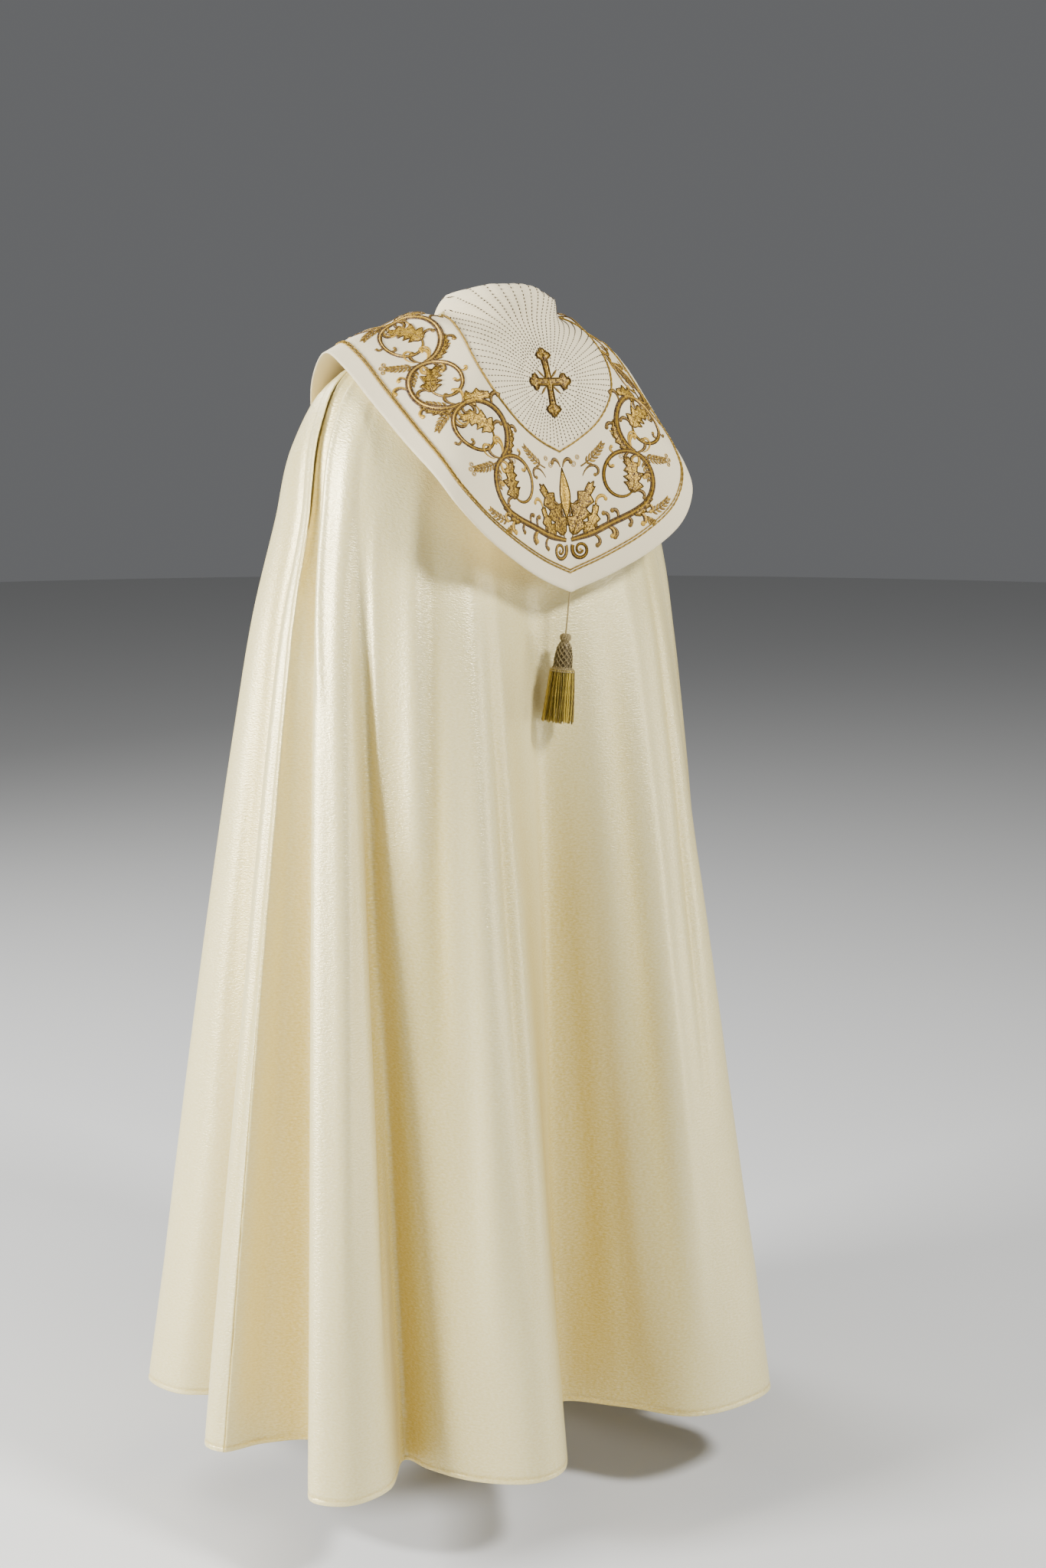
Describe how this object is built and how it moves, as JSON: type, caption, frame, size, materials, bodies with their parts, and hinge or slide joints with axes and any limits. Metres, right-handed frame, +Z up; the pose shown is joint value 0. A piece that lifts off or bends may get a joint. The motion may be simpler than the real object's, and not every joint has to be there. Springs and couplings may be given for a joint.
{
  "type": "cope vestment",
  "caption": "Full-length semicircular cope worn over the shoulders, with a stiff shield-shaped hood, front closing tab and a hanging tassel.",
  "frame": {"origin": "centre of the neck opening at shoulder level, where the wearer's shoulders hold the cope, 1.5 m above the floor", "axes": "+X towards the wearer's left, +Y towards the wearer's back, +Z up"},
  "size_m": [0.8586, 0.7132, 1.4412],
  "materials": {
    "satin": "cream satin with a fine crepe grain and soft sheen",
    "hood_cloth": "stiff matte ivory cloth with gold embroidery",
    "gold_thread": "twisted metallic gold thread"
  },
  "bodies": {
    "root": {"mantle_left": "satin", "mantle_back": "satin", "mantle_right": "satin", "hood": "hood_cloth", "morse": "hood_cloth", "tassel_cord": "gold_thread", "tassel": "gold_thread"}
  },
  "joints": []
}
